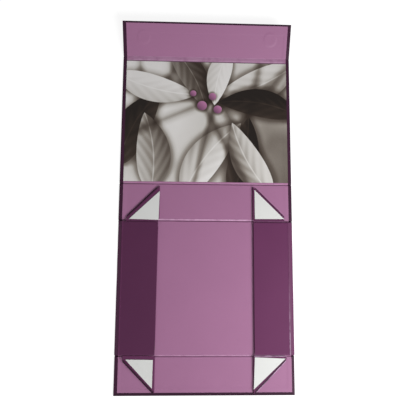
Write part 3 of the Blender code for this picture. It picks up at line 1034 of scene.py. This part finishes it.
def tabLip(name, node, body, corners, top, xSign, ySign):
    # the paper between the side wall's cover and the tab
    profile = tab["lip"]
    start = seam + sideWall["seamGap"] / 2
    inX, outX = corners[1][0], corners[0][0]
    firstX = xSign * (halfWidth - sideFar)
    firstOut = xSign * (halfWidth - sideNear - tab["lipShort"])

    def point(across, along):
        out, rise = profile[round(along * (len(profile) - 1))]
        share = smooth(out / profile[-2][0])
        inner = firstX + (inX - firstX) * share
        outer = firstOut + (outX - firstOut) * share
        return inner + (outer - inner) * across, ySign * (start + out * mm), top + rise * mm

    # painted highlight along the seam
    def highlighted(place):
        return tab["worn"][name] * (1 - fadeIn(abs(place.y) - start, tab["lipWorn"]))

    shape = loft(tab["lipColumns"], len(profile) - 1, point, flip=xSign * ySign < 0)
    paintVerts(shape, "worn", highlighted)
    piece = makePiece(shape, name + "TabLip")
    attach(piece, body)
    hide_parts(node + "_corner_paper")


def tabHinge(name, node, xSign, ySign):
    # paper over the tab's long edge, down to the wall and a little way along it
    profile = tab["hinge"]
    pivot = Vector(jointOf[node + "_tab_fold"]["pos_m"])
    slant = Vector((-xSign, ySign, 0)).normalized()
    outward = Vector((xSign, ySign, 0)).normalized()
    low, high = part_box(node + "_hinge_paper")
    firstX = high.x if xSign > 0 else low.x
    lastX = low.x if xSign > 0 else high.x
    outerFree, tipFree = tab["hingeEnds"]
    startRun = max(abs(pivot.x) - abs(firstX) + outerFree, 0) * rootTwo
    endRun = (abs(pivot.x) - abs(lastX) - tipFree) * rootTwo

    def point(across, along):
        out, height = profile[round(across * (len(profile) - 1))]
        trim = max(out, 0) * mm
        run = startRun + trim + (endRun - trim - startRun - trim) * along
        place = pivot + slant * run + outward * (out * mm + tab["slant"][name])
        return place.x, place.y, height * mm

    # painted shade on the hinge paper
    def shaded(place):
        onTab, overEdge = tab["shade"][name]
        shade = onTab * fadeIn(outward.dot(place - pivot) - tab["slant"][name], tab["onTab"])
        return overEdge + (shade - overEdge) * fadeIn(place.z, tab["atEdge"])

    # painted highlight at the hinge's foot
    def highlighted(place):
        return tab["worn"][name] * (1 - fadeIn(place.z, tab["atFoot"]))

    shape = loft(len(profile) - 1, tab["hingeRows"], point, flip=xSign * ySign < 0)
    paintVerts(shape, "turnedIn", shaded)
    paintVerts(shape, "worn", highlighted)
    piece = makePiece(shape, name + "TabHinge", thickness=tab["hingePaper"])
    low, high = tab["hingeBend"]
    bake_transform(piece)
    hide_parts(node + "_hinge_paper")


def cornerTab(end, word, ySign, xSign):
    name = end + word.capitalize()
    node = end + "_" + word
    body = node + "_tab"
    corners, low, high = tabCorners(node + "_tab_wrap", xSign, ySign, tab["reach"][name],
                                    tab["slant"][name])
    shell = makePiece(slabOf(corners, low, high), name + "TabShell", thickness=0.0)
    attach(shell, body)
    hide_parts(node + "_tab_wrap")
    tabLip(name, node, body, corners, high, xSign, ySign)
    tabHinge(name, node, xSign, ySign)
    tapedTriangle(name, node, body, xSign, ySign)


for end, ySign in (("front", -1), ("back", 1)):
    for word, xSign in (("left", -1), ("right", 1)):
        cornerTab(end, word, ySign, xSign)
print("corner tabs laid down")


# A plain floor, which stays white to the camera but keeps the object's shadow
stage = {
    "floorSize": 6.0,
    "floorDrop": 0.3 * mm,
    "floorColour": (0.34, 0.34, 0.34),
    "floorRoughness": 0.9,
    "floorLift": 0.86,        # how much it glows to the camera
    "skyStrength": 0.2,
    # turn from +X in degrees, height in degrees, distance, size, power
    "lamps": {
        "keyLamp": (-58, 40, 2.0, 0.70, 22.5),
        "sideLamp": (-10, 39, 0.56, 0.22, 2.2),
    },
}


def layFloor():
    look = Look("paleFloor", specular=0.0)
    look.feed({"Base Color": (*stage["floorColour"], 1), "Roughness": stage["floorRoughness"]})
    glow = look.node("Emission", None, {"Color": (1, 1, 1, 1)})
    look.join(glow.socket.node.inputs["Strength"], look.seenDirectly() * stage["floorLift"])
    both = look.node("AddShader", None, {0: Wire(look, look.shader.outputs[0]), 1: glow})
    look.join(look.tree.nodes["Material Output"].inputs["Surface"], both)
    shape = bmesh.new()
    bmesh.ops.create_grid(shape, x_segments=1, y_segments=1, size=stage["floorSize"] / 2)
    bmesh.ops.translate(shape, vec=(0, 0, -stage["floorDrop"]), verts=shape.verts)
    mesh = bpy.data.meshes.new("floor")
    shape.to_mesh(mesh)
    shape.free()
    mesh.materials.append(look.material)
    floor = addItem("floor", mesh)


def addLamp(name, turn, height, distance, size, power):
    light = bpy.data.lights.new(name, "AREA")
    light.shape = "SQUARE"
    light.size = size
    light.energy = power
    lamp = addItem(name, light)
    turn = math.radians(turn)
    height = math.radians(height)
    flat = math.cos(height)
    place = Vector((flat * math.cos(turn), flat * math.sin(turn), math.sin(height))) * distance
    lamp.location = place
    lamp.rotation_euler = (-place).to_track_quat("-Z", "Y").to_euler()


def lightRoom():
    world = bpy.data.worlds.new("studio")
    bpy.context.scene.world = world
    world.use_nodes = True
    sky = world.node_tree.nodes["Background"]
    sky.inputs["Color"].default_value = (1, 1, 1, 1)
    nodes = Nodes(world.node_tree)
    strength = stage["skyStrength"] + nodes.seenDirectly() * (1 - stage["skyStrength"])
    nodes.join(sky.inputs["Strength"], strength)
    for name, values in stage["lamps"].items():
        addLamp(name, *values)
    bpy.context.scene.view_settings.view_transform = "Standard"


layFloor()
lightRoom()
print("floor and lamps set")
